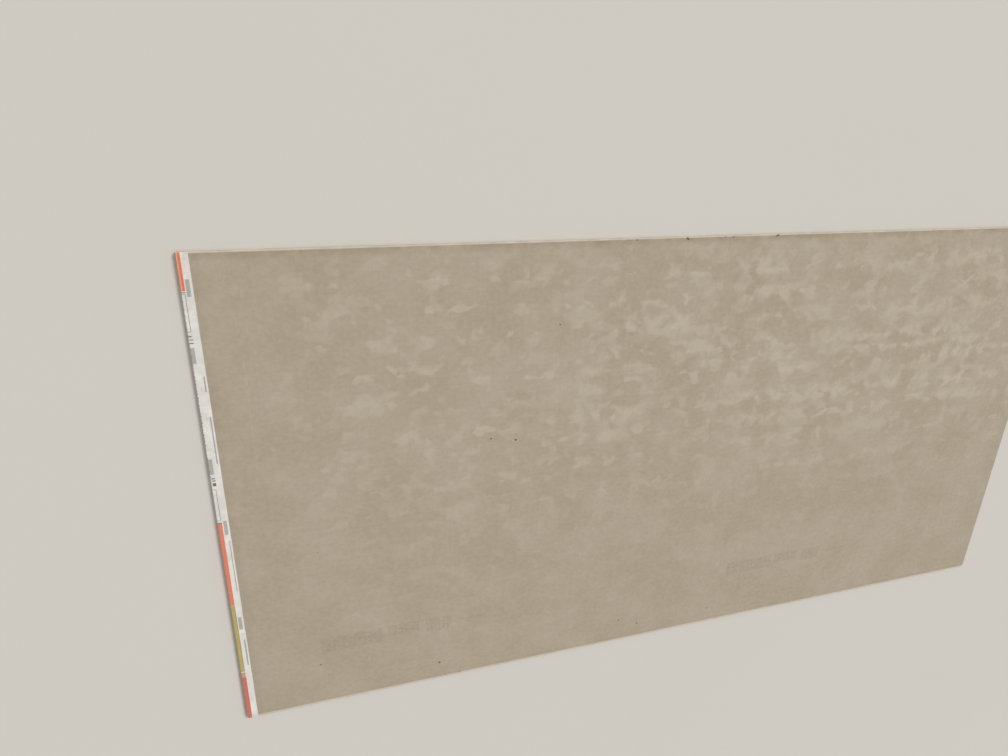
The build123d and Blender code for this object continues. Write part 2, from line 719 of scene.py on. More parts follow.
class Group(Graph):
    """A node group in the making, with named inputs."""

    def __init__(self, name: str, inputs: dict[str, Any], kind: str = "ShaderNodeTree") -> None:
        """Starts a group.

        Args:
            name: The group's name.
            inputs: Each input's kind of socket, or its starting value: a number, or three for a vector.
            kind: The type of its tree.
        """
        super().__init__(bpy.data.node_groups.new(name, kind))
        self.ids: dict[str, str] = {}
        for key, value in inputs.items():
            sort = value if isinstance(value, str) else "Vector" if isinstance(value, tuple) else "Float"
            made = self.tree.interface.new_socket(key, in_out="INPUT", socket_type=f"NodeSocket{sort}")
            if sort != value:
                made.default_value = value
            self.ids[key] = made.identifier
        self.given = Value(self, self.tree.nodes.new("NodeGroupInput").outputs[0])

    def give(self, kind: str = "Float", **values: Value) -> bpy.types.NodeTree:
        """Ends the group.

        Args:
            kind: The kind of socket that its outputs have.
            **values: What each named output gives.

        Returns:
            The group's tree.
        """
        result = self.tree.nodes.new("NodeGroupOutput")
        for key, value in values.items():
            self.tree.interface.new_socket(key, in_out="OUTPUT", socket_type=f"NodeSocket{kind}")
            self.put(result.inputs[key], value)
        return self.tree


class Effects:
    """Shader node groups that more than one finish uses, each built once."""

    def __init__(self) -> None:
        """Builds the groups."""
        self.fibres, self.mark, self.soil = self._fibres(), self._mark(), self._soil()

    @staticmethod
    def _fibres() -> bpy.types.NodeTree:
        """Paper's felted fibres: a tone that is longer one way, and flecks of two kinds.

        Returns:
            The group.
        """
        group = Group("paper fibres", {"Vector": ORIGIN, "Length": 5.0, "Width": 0.5, "Flecks": 0.5})
        place, long, wide = group.given["Vector"], group.given["Length"], group.given["Width"]
        x, y, z = place.parts()
        felt = group.join(x / long, y / wide, z / wide).noise(1.0, 3.0, 0.6)
        crossed = group.join((x + y) / (wide * 1.6), (x - y) / long, 3.0).noise(1.0, 2.0, 0.5)
        limit = 0.78 - group.given["Flecks"] * 0.12
        dark = place.noise(0.42, 2.0, 0.7).smooth(limit, limit + 0.05)
        pale = (place + (731.0, 97.0, 13.0)).noise(0.5, 2.0, 0.7).smooth(limit, limit + 0.05)
        return group.give(Tone=felt * 0.65 + crossed * 0.35, Dark=dark, Pale=pale)

    @staticmethod
    def _mark() -> bpy.types.NodeTree:
        """One printed mark: a block, an outlined box, or a row of bars along the vector's second part.

        Returns:
            The group.
        """
        group = Group("print mark", {"Vector": ORIGIN, "Low": ORIGIN, "High": (1.0, 1.0, 0.0), "Line": 0.0,
                                     "Pitch": 1.0, "Fill": 2.0, "Blur": 0.15})
        place, low, high, line, pitch, fill, blur = (group.given[key] for key in group.ids)
        flat_half = (0.5, 0.5, 0.0)
        away = (place - (low + high) * flat_half).math("ABSOLUTE")
        inside_u, inside_v, _ = ((high - low) * flat_half - away).parts()
        inside = inside_u.math("MINIMUM", inside_v)
        hollow = inside.smooth(line - blur, line + blur) * line.math("GREATER_THAN", 0.001)
        phase = (place.parts()[1] / pitch).math("FRACT")
        gap = (phase * 2.0 - 1.0).math("ABSOLUTE").smooth(fill - 0.12, fill + 0.12)
        return group.give(Mask=inside.smooth(blur * -1.0, blur) * ((1.0 - hollow) * (1.0 - gap)))

    @staticmethod
    def _soil() -> bpy.types.NodeTree:
        """Handling dirt that gathers within reach of an edge and breaks up as it thins out.

        Returns:
            The group.
        """
        group = Group("handling dirt", {"Vector": ORIGIN, "Distance": 100.0, "Reach": 12.0, "Patch": 20.0})
        place, distance, reach, patch = (group.given[key] for key in group.ids)
        patches = (place / patch).noise(1.0, 3.0, 0.6).smooth(0.2, 0.75)
        return group.give(Mask=(1.0 - distance.smooth(0.0, reach)) * patches)


class Surface(Graph):
    """A material in the making: its shader, its colour so far, and its place in millimetres."""

    def __init__(self, name: str, board: Board, colour: Any = None) -> None:
        """Starts a material with one Principled shader.

        Args:
            name: The material's name.
            board: The sheet, from whose taped end and -Y edge the pattern is measured.
            colour: The colour that it starts from.
        """
        self.material = bpy.data.materials.new(name)
        self.material.use_nodes = True
        super().__init__(self.material.node_tree)
        self.colour = colour
        self.place = self.add("ShaderNodeMapping", {
            "Vector": self.add("ShaderNodeTexCoord", output="Object"), "Scale": 1 / MM,
            "Location": (-board.taped_end, board.half_width, 0.0),
        })

    def cover(self, mask: Any, colour: Any, blend: str = "MIX") -> None:
        """Lays a colour over what is there, where the mask shows it."""
        self.colour = self.mix(mask, self.colour, colour, blend)

    def grain(self, amount: float, tone: Value) -> None:
        """Brings out a grain, softly."""
        self.cover(amount, self.join(tone, tone, tone), "SOFT_LIGHT")

    def tear_and_shade(self, dark: Colour, pale: Colour) -> None:
        """Shows torn, fibrous paper of two mixed tones where the mask marks it: torn paper, and painted shade
        in the notches, nicks and pits.

        Args:
            dark: The paper's darker threads.
            pale: Its paler threads.
        """
        # The mask of torn paper, and of painted shade in the notches, nicks and pits
        worn = self.add("ShaderNodeAttribute", output="Fac", attribute_name=WEAR_AND_SHADE, attribute_type="GEOMETRY")
        ragged = (worn + (self.place.noise(1 / 2.4, 5.0, 0.62) - 0.5) * 1.3).smooth(0.34, 0.56)
        threads = (self.place / (1.5, 0.8, 0.8)).noise(1.0, 4.0, 0.7).smooth(0.44, 0.68)
        self.cover(ragged * worn.smooth(0.1, 1.0), self.mix(threads, dark, pale))

    def finish(self, roughness: Any, height: Value, height_mm: float, specular: float) -> bpy.types.Material:
        """Joins the results to the shader.

        Args:
            roughness: A plain value, or a mask that changes over the surface.
            height: Relief from 0 to 1.
            height_mm: What a relief of 1 stands for.
            specular: The shader's specular level, the same all over.

        Returns:
            The finished material.
        """
        bump = self.add("ShaderNodeBump", {"Height": height, "Strength": 1.0, "Distance": height_mm * MM})
        sockets = self.tree.nodes["Principled BSDF"].inputs
        for key, value in {"Base Color": self.colour, "Roughness": roughness, "Normal": bump,
                           "Specular IOR Level": specular}.items():
            self.put(sockets[key], value)
        return self.material


class Ink(Enum):
    """Printing inks, as seen on the white tape."""

    ORANGE = (211, 109, 75)
    AMBER = (222, 148, 98)
    CORAL = (217, 92, 69)
    RUST = (190, 89, 66)
    UMBER = (184, 138, 104)
    OLIVE = (172, 152, 72)
    GREY = (128, 126, 120)
    BLACK = (84, 80, 76)
    PINK = (221, 206, 207)


class Shape(Enum):
    """How a mark is filled: line width, pitch of its bars, and how much of the pitch a bar takes."""

    BLOCK = (0.0, 1.0, 2.0)
    BOX = (1.0, 1.0, 2.0)
    BARS = (0.0, 1.9, 0.7)
    DASHES = (0.0, 2.3, 0.78)


@dataclass(frozen=True)
class Finish:
    """What each finish of the sheet starts from."""

    effects: Effects
    board: Board

    def fibres(self, surface: Surface, length: float, width: float, flecks: float) -> Value:
        """Places the fibre group, with the size of its fibres in millimetres and the share of its flecks."""
        return surface.add("ShaderNodeGroup", {"Vector": surface.place, "Length": length, "Width": width,
                                               "Flecks": flecks}, node_tree=self.effects.fibres)

    def soiled(self, surface: Surface, distance: Value, reach: float, patch: float) -> Value:
        """Places the dirt group, with its reach and the size of its patches in millimetres."""
        return surface.add("ShaderNodeGroup", {"Vector": surface.place, "Distance": distance, "Reach": reach,
                                               "Patch": patch}, node_tree=self.effects.soil)

    def printed(self, surface: Surface, place: Value, box: tuple[float, ...], blur: float,
                shape: tuple[float, float, float] = Shape.BLOCK.value) -> Value:
        """Places the mark group.

        Args:
            surface: The material.
            place: The vector in whose first two parts the mark lies.
            box: Its lowest corner and then its highest, in millimetres.
            blur: How soft its edge is, in millimetres.
            shape: Line width, pitch and fill.

        Returns:
            The mark's mask.
        """
        inputs = {"Vector": place, "Low": (*box[:2], 0.0), "High": (*box[2:], 0.0), "Blur": blur,
                  "Line": shape[0], "Pitch": shape[1], "Fill": shape[2]}
        return surface.add("ShaderNodeGroup", inputs, node_tree=self.effects.mark)


@dataclass(frozen=True)
class BrownPaperFinish(Finish):
    """Grey-brown recycled paper of the back, with pale blotches, faint ink and small marks."""

    brown: Colour = srgb(167, 156, 139)
    shade: Colour = srgb(162, 151, 133)
    blotch: Colour = srgb(189, 179, 163)
    fleck: Colour = srgb(128, 112, 93)
    pale_fleck: Colour = srgb(190, 178, 158)
    soil: Colour = srgb(126, 110, 91)
    # Dark threads of torn paper, and painted shadow in the notches, nicks and pits
    torn: Colour = srgb(72, 60, 48)
    torn_pale: Colour = srgb(134, 119, 100)
    ink: Colour = srgb(132, 120, 106)
    scratch: Colour = srgb(193, 181, 162)
    tape_width: float = 24.0
    relief_mm: float = 0.035
    specular: float = 0.28
    # How strongly each of the paper's marks shows
    mottle: float = 0.2
    grain: float = 0.3
    flecks: float = 0.5
    pale_flecks: float = 0.4
    faint_ink: float = 0.32
    scuffed: float = 0.42
    dirt_at_upper_edge: float = 0.45
    dirt_elsewhere: float = 0.22
    # Rows in which the blotches lie, as shares of the sheet's width from the -Y edge
    rows = (0.30, 0.375, 0.44, 0.515, 0.579, 0.618, 0.70, 0.726, 0.758, 0.821, 0.873, 0.935)
    between_rows = 0.5
    # Faint blocks of old print, across and then along the sheet, with the pitch and fill of their bars
    faint = (
        ((168, 198, 212, 362), 13.3, 0.9), ((182, 374, 214, 456), 16.6, 0.84),
        ((170, 476, 212, 544), 11.5, 0.84), ((189, 548, 198, 640), 8.0, 0.8),
    )
    faint_repeat = 1221.0
    # Pale scuffs: along and then across the sheet
    scuffs = (
        (100.5, 721.0, 101.9, 986.0), (317.0, 112.0, 321.0, 126.0), (1496.0, 430.0, 1497.2, 512.0),
        (1990.0, 700.0, 2064.0, 701.3),
    )

    def material(self) -> bpy.types.Material:
        """Builds the material.

        Returns:
            The finished material.
        """
        surface = Surface("brown paper", self.board)
        place = surface.place
        x, y, _ = place.parts()
        fibres = self.fibres(surface, 2.6, 0.9, 0.55)
        lines = surface.join(x / 900.0, y / 4.5, 0.0).noise(1.0, 3.0, 0.7)
        cross = surface.join(x / 5.0, y / 700.0, 5.0).noise(1.0, 3.0, 0.7)
        clouds = place.noise(1 / 160, 3.0, 0.55).smooth(0.38, 0.62)
        surface.colour = surface.mix(clouds, self.shade, self.brown)
        mottle = (place / (13.0, 10.0, 10.0)).noise(1.0, 3.0, 0.62).smooth(0.3, 0.7)
        surface.cover(mottle * self.mottle, self.blotch)
        surface.cover(self._blotches(surface, x, y), self.blotch)
        surface.grain(self.grain, (fibres["Tone"] * 0.8 + (lines + cross) * 0.1).smooth(0.15, 0.85))
        surface.cover(fibres["Dark"] * self.flecks, self.fleck)
        surface.cover(fibres["Pale"] * self.pale_flecks, self.pale_fleck)
        surface.cover(self._faint_print(surface, x, y), self.ink)
        surface.cover(self._scratches(surface), self.scratch)
        upper = self.soiled(surface, 2 * self.board.half_width - y, 26.0, 45.0)
        lower = self.soiled(surface, y, 22.0, 60.0)
        beside = self.soiled(surface, x - self.tape_width, 30.0, 35.0)
        surface.cover(upper * self.dirt_at_upper_edge + (lower + beside) * self.dirt_elsewhere, self.soil)
        surface.tear_and_shade(self.torn, self.torn_pale)
        roughness, relief = 0.86 + fibres["Tone"] * 0.1, fibres["Tone"] + lines * 0.35
        return surface.finish(roughness, relief, self.relief_mm, self.specular)

    def _blotches(self, surface: Surface, x: Value, y: Value) -> Value:
        """Pale patches in loose rows, most of them in the half at +Y.

        Args:
            surface: The material.
            x: Millimetres from the taped end.
            y: Millimetres from the -Y edge.

        Returns:
            How pale the paper is, from 0 to 1.
        """
        place = surface.place
        moved = place + place.drift(1 / 22, 1.6, 0.5) * (24.0, 24.0, 0.0)
        elsewhere = moved + (400.0, 900.0, 0.0)
        net = surface.add("ShaderNodeTexVoronoi", {
            "Vector": moved / (62.0, 54.0, 1e5), "Scale": 1.0, "Randomness": 0.9,
        }, "Distance", feature="DISTANCE_TO_EDGE")
        ring = (1.0 - net.smooth(0.0, 0.34)) * (0.45 + place.noise(1 / 13, 2.0, 0.6) * 1.1)
        present = (place / (62.0, 46.0, 50.0)).noise(1.0, 1.0).smooth(0.51, 0.63)
        spots = (elsewhere / (40.0, 31.0, 60.0)).noise(1.0, 1.0).smooth(0.59, 0.71)
        pools = ring * (elsewhere / (92.0, 66.0, 60.0)).noise(1.0, 1.6).smooth(0.46, 0.6)
        rows = self._rows(surface, moved.parts()[1] / (2 * self.board.half_width))
        upper = y.smooth(330.0, 800.0)
        strong = upper * x.smooth(350.0, 1250.0)
        wide = place.noise(1 / 300).smooth(0.3, 0.62)
        small = (ring * present).math("MAXIMUM", spots) * rows
        large = pools * rows.smooth(0.2, 0.9) * strong
        strength = (0.14 + upper * 0.34 + strong * wide * 0.2) * (0.3 + x.smooth(60.0, 380.0) * 0.7)
        return small.math("MAXIMUM", large) * strength

    def _rows(self, surface: Surface, share: Value) -> Value:
        """Says how much of a blotch shows.

        Args:
            surface: The material.
            share: The place across, as a share of the sheet's width.

        Returns:
            1 in the rows and less between them.
        """
        ramp = surface.add("ShaderNodeValToRGB", {"Fac": share})
        bar = ramp.socket.node.color_ramp
        bar.interpolation = "EASE"
        grey = (self.between_rows,) * 3 + (1.0,)
        bar.elements[0].color = bar.elements[1].color = grey
        for row, after in zip(self.rows, (*self.rows[1:], self.rows[-1] + 0.05)):
            bar.elements.new(row).color = (1.0, 1.0, 1.0, 1.0)
            bar.elements.new((row + after) / 2).color = grey
        return ramp

    def _faint_print(self, surface: Surface, x: Value, y: Value) -> Value:
        """Old ink that has almost gone: plain rows of blocks, repeated along the sheet.

        Args:
            surface: The material.
            x: Millimetres from the taped end.
            y: Millimetres from the -Y edge.

        Returns:
            The ink's strength.
        """
        ink = surface.most([
            self.printed(surface, surface.join(y, x - shift), box, 1.6, (0.0, pitch, fill))
            for shift in (0.0, self.faint_repeat) for box, pitch, fill in self.faint
        ])
        return ink * surface.join(x, y).noise(1 / 7, 3.0, 0.65).smooth(0.36, 0.6) * self.faint_ink

    def _scratches(self, surface: Surface) -> Value:
        """A few pale scuffs: one long one across the sheet near its taped end, and short ones.

        Args:
            surface: The material.

        Returns:
            How pale the paper is there.
        """
        place = surface.place
        moved = place + place.drift(1 / 120, 2.0, 0.5) * (9.0, 0.0, 0.0)
        scuffs = surface.most([self.printed(surface, moved, box, 0.5) for box in self.scuffs])
        return scuffs * place.noise(1 / 14, 3.0, 0.6).smooth(0.35, 0.6) * self.scuffed


@dataclass(frozen=True)
class IvoryPaperFinish(Finish):
    """Smooth pale paper of the face side, dusty where it is folded onto the back."""

    ivory: Colour = srgb(219, 211, 194)
    warm: Colour = srgb(212, 202, 183)
    dusty: Colour = srgb(199, 189, 173)
    soil: Colour = srgb(132, 116, 98)
    # Dark threads of torn paper, and painted shade in the nicks
    torn: Colour = srgb(80, 67, 54)
    torn_pale: Colour = srgb(176, 164, 145)
    relief_mm: float = 0.02
    specular: float = 0.35
    grain: float = 0.25
    flecks: float = 0.25
    dirt: float = 0.3
    scuffed: float = 0.22

    def material(self) -> bpy.types.Material:
        """Builds the material.

        Returns:
            The finished material.
        """
        surface = Surface("ivory paper", self.board)
        place = surface.place
        _, y, z = place.parts()
        fibres = self.fibres(surface, 4.0, 0.8, 0.25)
        surface.colour = surface.mix(place.noise(1 / 210, 3.0).smooth(0.35, 0.65), self.warm, self.ivory)
        surface.cover(z.smooth(1.5, 9.0), self.dusty)
        surface.grain(self.grain, fibres["Tone"].smooth(0.2, 0.8))
        surface.cover(fibres["Dark"] * self.flecks, self.soil)
        edge = y.math("MINIMUM", 2 * self.board.half_width - y)
        surface.cover(self.soiled(surface, edge, 9.0, 30.0) * self.dirt, self.soil)
        scuffs = (place / (46.0, 3.0, 2.0)).noise(1.0, 4.0, 0.65)
        surface.cover(scuffs.smooth(0.62, 0.74) * self.scuffed, self.soil)
        surface.tear_and_shade(self.torn, self.torn_pale)
        return surface.finish(0.68 + scuffs * 0.18, fibres["Tone"], self.relief_mm, self.specular)


@dataclass(frozen=True)
class GypsumFinish(Finish):
    """The chalky core at a cut end: fine grains, air pores with painted shade, powder and a few paper fibres,
    and painted shadow in the notches and dents.
    """

    white: Colour = srgb(226, 223, 214)
    grey: Colour = srgb(207, 203, 193)
    # Painted shade in the air pores; also the dark flecks, and the paler painted shadow in the notches and
    # dents
    pore: Colour = srgb(150, 145, 135)
    dust: Colour = srgb(236, 234, 228)
    # Painted shadow where the core shows in the tape's notches and in the dents
    soil: Colour = srgb(112, 99, 83)
    relief_mm: float = 0.12
    specular: float = 0.2
    # How strongly the painted shade in the pores shows
    pores: float = 0.7
    powder: float = 0.6
    flecks: float = 0.35

    def material(self) -> bpy.types.Material:
        """Builds the material.

        Returns:
            The finished material.
        """
        surface = Surface("gypsum", self.board)
        place = surface.place
        fibres = self.fibres(surface, 2.2, 0.7, 0.8)
        grains = place.noise(1.6, 4.0, 0.7)
        surface.colour = surface.mix(grains.smooth(0.35, 0.65), self.grey, self.white)
        bubbles = surface.add("ShaderNodeTexVoronoi", {"Vector": place, "Scale": 0.85}, feature="F1")
        size = bubbles["Color"].parts()[0] * 0.3 - 0.08
        pores = 1.0 - (bubbles["Distance"] + grains * 0.12).smooth(size, size + 0.12)
        # Painted shade in the air pores
        surface.cover(pores * self.pores, self.pore)
        powder = place.noise(1 / 13, 3.0, 0.6).smooth(0.5, 0.7)
        surface.cover(powder * self.powder, self.dust)
        surface.cover(fibres["Dark"] * self.flecks, self.pore)
        # The core is painted dark brown as shadow in the notches and dents
        surface.tear_and_shade(self.soil, self.pore)
        return surface.finish(0.88 + powder * 0.1, grains - pores * 0.8, self.relief_mm, self.specular)


@dataclass(frozen=True)
class TapeFinish(Finish):
    """White end tape with generic blocks, boxes and bars printed on it, rubbed along its crease."""

    white: Colour = srgb(223, 222, 216)
    grey: Colour = srgb(207, 206, 201)
    dirt: Colour = srgb(166, 154, 137)
    # Torn tape edge, and painted shade on the notch walls
    torn: Colour = srgb(186, 178, 165)
    torn_pale: Colour = srgb(214, 209, 199)
    relief_mm: float = 0.03
    specular: float = 0.4
    grain: float = 0.2
    ink: float = 0.92
    blur: float = 0.3
    creased: float = 0.45
    smudged: float = 0.4
    # Each mark's lowest and highest corner: across from the crease, with the end's own face below
    # nothing, and along from the -Y edge
    marks = {
        Ink.ORANGE: ((Shape.BLOCK, (-12.6, 362, 9.4, 594)),),
        Ink.AMBER: ((Shape.BLOCK, (-12.6, 1140, 3.6, 1222)),),
        Ink.CORAL: ((Shape.BLOCK, (3.2, 1140, 8.0, 1222)),),
        Ink.RUST: ((Shape.BLOCK, (-12.6, -4, 10.4, 138)),),
        Ink.UMBER: ((Shape.BLOCK, (-12.6, 138, 9.8, 154)),),
        Ink.OLIVE: ((Shape.BLOCK, (-12.6, 156, 9.0, 359)),),
        Ink.GREY: (
            (Shape.BARS, (10.0, 1128, 18.0, 1164)), (Shape.BARS, (-4.0, 985, 8.2, 1020)),
            (Shape.BARS, (-4.0, 722, 9.0, 760)), (Shape.BARS, (12.0, 562, 20.0, 600)),
            (Shape.BARS, (12.0, 288, 20.0, 325)), (Shape.DASHES, (16.9, 920, 19.6, 955)),
            (Shape.DASHES, (17.6, 748, 20.4, 862)), (Shape.DASHES, (18.8, 402, 20.8, 545)),
            (Shape.DASHES, (18.0, 175, 21.6, 256)),
        ),
        Ink.BLACK: (
            (Shape.BLOCK, (8.4, 156, 9.4, 360.5)), (Shape.BLOCK, (-1.1, 156, 0.2, 360.5)),
            (Shape.BLOCK, (-12.6, 359.4, 9.4, 361)), (Shape.BLOCK, (-12.6, 1136.2, 8.0, 1138)),
            (Shape.BLOCK, (-12.6, 594, 9.4, 596.6)), (Shape.BOX, (-6.0, 1054, 7.2, 1134)),
            (Shape.BOX, (-6.0, 602, 8.2, 684)), (Shape.BLOCK, (0.5, 1043.6, 6.5, 1046.2)),
            (Shape.BLOCK, (1.5, 1036.5, 8.5, 1038.6)), (Shape.BLOCK, (0.5, 1028.5, 8.6, 1031)),
            (Shape.BLOCK, (3.0, 704.5, 9.6, 707.2)), (Shape.BLOCK, (2.0, 710.4, 8.8, 713.2)),
            (Shape.BLOCK, (2.6, 692.6, 10.0, 700.4)),
        ),
        Ink.PINK: ((Shape.BLOCK, (14.8, 1165, 22.0, 1200)),),
    }

    def material(self) -> bpy.types.Material:
        """Builds the material.

        Returns:
            The finished material.
        """
        surface = Surface("printed tape", self.board)
        place = surface.place
        unfolded = surface.add("ShaderNodeUVMap", uv_map=TAPE_MAP) * (1 / MM)
        across, along, _ = unfolded.parts()
        fibres = self.fibres(surface, 1.0, 3.0, 0.2)
        clouds = place.noise(1 / 34, 3.0, 0.6)
        surface.colour = surface.mix(clouds.smooth(0.35, 0.7), self.grey, self.white)
        surface.grain(self.grain, fibres["Tone"].smooth(0.15, 0.85))
        rub = surface.join(across / 2.2, along / 5.0).noise(1.0, 3.0, 0.65).smooth(0.22, 0.42) * self.ink
        for ink, marks in self.marks.items():
            masks = [self.printed(surface, unfolded, box, self.blur, shape.value) for shape, box in marks]
            surface.cover(surface.most(masks) * rub, srgb(*ink.value))
        crease = 1.0 - across.math("ABSOLUTE").smooth(0.1, 1.1)
        surface.cover(crease * place.noise(1 / 3.5, 3.0, 0.6).smooth(0.38, 0.62) * self.creased, self.dirt)
        smudge = (place + (51.0, 7.0, 0.0)).noise(1 / 21, 4.0, 0.65).smooth(0.56, 0.78)
        surface.cover(smudge * self.smudged, self.dirt)
        surface.tear_and_shade(self.torn, self.torn_pale)
        relief = fibres["Tone"] + clouds * 1.5
        return surface.finish(0.5 + clouds * 0.2, relief, self.relief_mm, self.specular)


@dataclass(frozen=True)
class LooseFibreFinish(Finish):
    """Torn paper fibres and flakes, darker at some and paler at others."""

    dark: Colour = srgb(112, 95, 76)
    pale: Colour = srgb(205, 193, 173)
    roughness: float = 0.95
    relief_mm: float = 0.02
    specular: float = 0.2
    flecks: float = 0.4

    def material(self) -> bpy.types.Material:
        """Builds the material.

        Returns:
            The finished material.
        """
        surface = Surface("torn fibres", self.board)
        fibres = self.fibres(surface, 1.5, 0.4, 0.3)
        surface.colour = surface.mix(surface.place.noise(1 / 2.5).smooth(0.4, 0.6), self.dark, self.pale)
        surface.cover(fibres["Dark"] * self.flecks, self.dark)
        return surface.finish(self.roughness, fibres["Tone"], self.relief_mm, self.specular)


class ShapeTree(Group):
    """A Geometry Nodes tree that makes a mesh from an object's, and ends in plain, dressed geometry."""

    def __init__(self, name: str, inputs: dict[str, Any]) -> None:
        """Starts the tree with its own inputs between a mesh and a material.

        Args:
            name: The tree's name.
            inputs: Each input's kind of socket.
        """
        super().__init__(name, {"Geometry": "Geometry", **inputs, "Material": "Material"}, "GeometryNodeTree")

    def planted(self, points: Value, instance: Value, turn: Value, size: Value) -> Value:
        """Puts a shape on each point, turned and sized, as real geometry."""
        made = self.add("GeometryNodeInstanceOnPoints", {"Points": points, "Instance": instance,
                                                         "Rotation": turn, "Scale": size})
        return self.add("GeometryNodeRealizeInstances", {0: made})

    def random_turn(self, reach: tuple[float, float, float]) -> Value:
        """Adds random turns of up to so much each way about or along the three axes."""
        inputs = {"Min": tuple(-v for v in reach), "Max": reach, "Seed": self.given["Seed"]}
        return self.add("FunctionNodeRandomValue", inputs, data_type="FLOAT_VECTOR")

    def noted(self, name: str) -> Value:
        """Reads a vector that was kept on the points."""
        return self.add("GeometryNodeInputNamedAttribute", {"Name": name}, "Attribute",
                        data_type="FLOAT_VECTOR")

    def close(self, shape: Value) -> None:
        """Ends the tree: instances become real and wear the material.

        Args:
            shape: What the tree has made.
        """
        real = self.add("GeometryNodeRealizeInstances", {0: shape})
        dressed = self.add("GeometryNodeSetMaterial", {0: real, "Material": self.given["Material"]})
        self.give("Geometry", Geometry=dressed)

    def apply(self, maker: bpy.types.Object, values: dict[str, Any]) -> bpy.types.Mesh:
        """Runs the tree once on an object, which itself stays as it is.

        Args:
            maker: The object.
            values: A value for each of the tree's inputs.

        Returns:
            The result as a plain mesh in metres.
        """
        modifier = maker.modifiers.new(self.tree.name, "NODES")
        modifier.node_group = self.tree
        for key, value in values.items():
            modifier[self.ids[key]] = value
        depsgraph = bpy.context.evaluated_depsgraph_get()
        mesh = bpy.data.meshes.new_from_object(maker.evaluated_get(depsgraph))
        maker.modifiers.remove(modifier)
        return mesh


class SweepTree(ShapeTree):
    """Carries a closed section along a row of stations."""

    def __init__(self) -> None:
        """Builds the tree."""
        super().__init__("swept section", {"Stations": "Object"})
        helper = self.add("GeometryNodeObjectInfo", {"Object": self.given["Stations"]}, "Geometry")
        path = self.add("GeometryNodeMeshToCurve", {0: helper})
        section = self.add("GeometryNodeMeshToCurve", {0: self.given["Geometry"]})
        self.close(self.add("GeometryNodeCurveToMesh", {
            "Curve": path, "Profile Curve": section, "Fill Caps": True}))

    def sweep(self, name: str, section: np.ndarray, stations: np.ndarray,
              material: bpy.types.Material) -> bpy.types.Object:
        """Sweeps a section along X.

        Args:
            name: The new object's name.
            section: The closed section (y, z), anticlockwise as seen from +X, in millimetres.
            stations: Places along X, in millimetres.
            material: What the piece wears.

        Returns:
            The piece, a plain mesh with closed ends.
        """
        count = len(section)
        loop = [(k, (k + 1) % count) for k in range(count)]
        steps = [(k, k + 1) for k in range(len(stations) - 1)]
        maker = raw_object("section", np.c_[-section, np.zeros(count)], loop, [])
        path = raw_object("stations", np.c_[stations, np.zeros((len(stations), 2))], steps, [])
        mesh = self.apply(maker, {"Stations": path, "Material": material})
        mesh.name = name
        for helper in (maker, path):
            bpy.data.objects.remove(helper)
        return link(name, mesh)


class BiteTree(ShapeTree):
    """Bites irregular notches out of a closed mesh."""

    def __init__(self) -> None:
        """Builds the tree."""
        super().__init__("torn notches", {"Places": "Object", "Roughness": "Float", "Seed": "Int"})
        ball = self.add("GeometryNodeMeshIcoSphere", {"Radius": 1.0, "Subdivisions": 3})
        # Marks the notch walls fully: torn tape edge, and painted shade in the notch
        torn = self.add("GeometryNodeStoreNamedAttribute", {"Geometry": ball, "Name": WEAR_AND_SHADE, "Value": 1.0},
                        data_type="FLOAT", domain="POINT")
        helper = self.add("GeometryNodeObjectInfo", {"Object": self.given["Places"]}, "Geometry")
        balls = self.planted(helper, torn, self.random_turn((0.2, 0.2, 0.5)), self.noted("size"))
        drift = self.add("GeometryNodeInputPosition").drift(0.42 / MM, 3.0, 0.6)
        jagged = self.add("GeometryNodeSetPosition", {
            "Geometry": balls, "Offset": drift * self.given["Roughness"]})
        self.close(self.add("GeometryNodeMeshBoolean", {0: self.given["Geometry"], 1: jagged},
                            operation="DIFFERENCE", solver="MANIFOLD"))

    def bite(self, piece: bpy.types.Object, places: np.ndarray, sizes: np.ndarray, rough: float,
             seed: int) -> None:
        """Bites a piece at the given places.

        Args:
            piece: The object, a closed mesh.
            places: Middles of the notches, in millimetres.
            sizes: Half sizes of each notch along X, Y and Z, in millimetres.
            rough: How far its edge wanders, in millimetres.
            seed: Which random turns.
        """
        helper = noted_points("notches", places, "size", sizes * MM)
        mesh = self.apply(piece, {"Places": helper, "Roughness": rough * MM, "Seed": seed,
                                  "Material": piece.data.materials[0]})
        old, piece.data = piece.data, mesh
        mesh.name = old.name
        bpy.data.meshes.remove(old)
        bpy.data.objects.remove(helper)


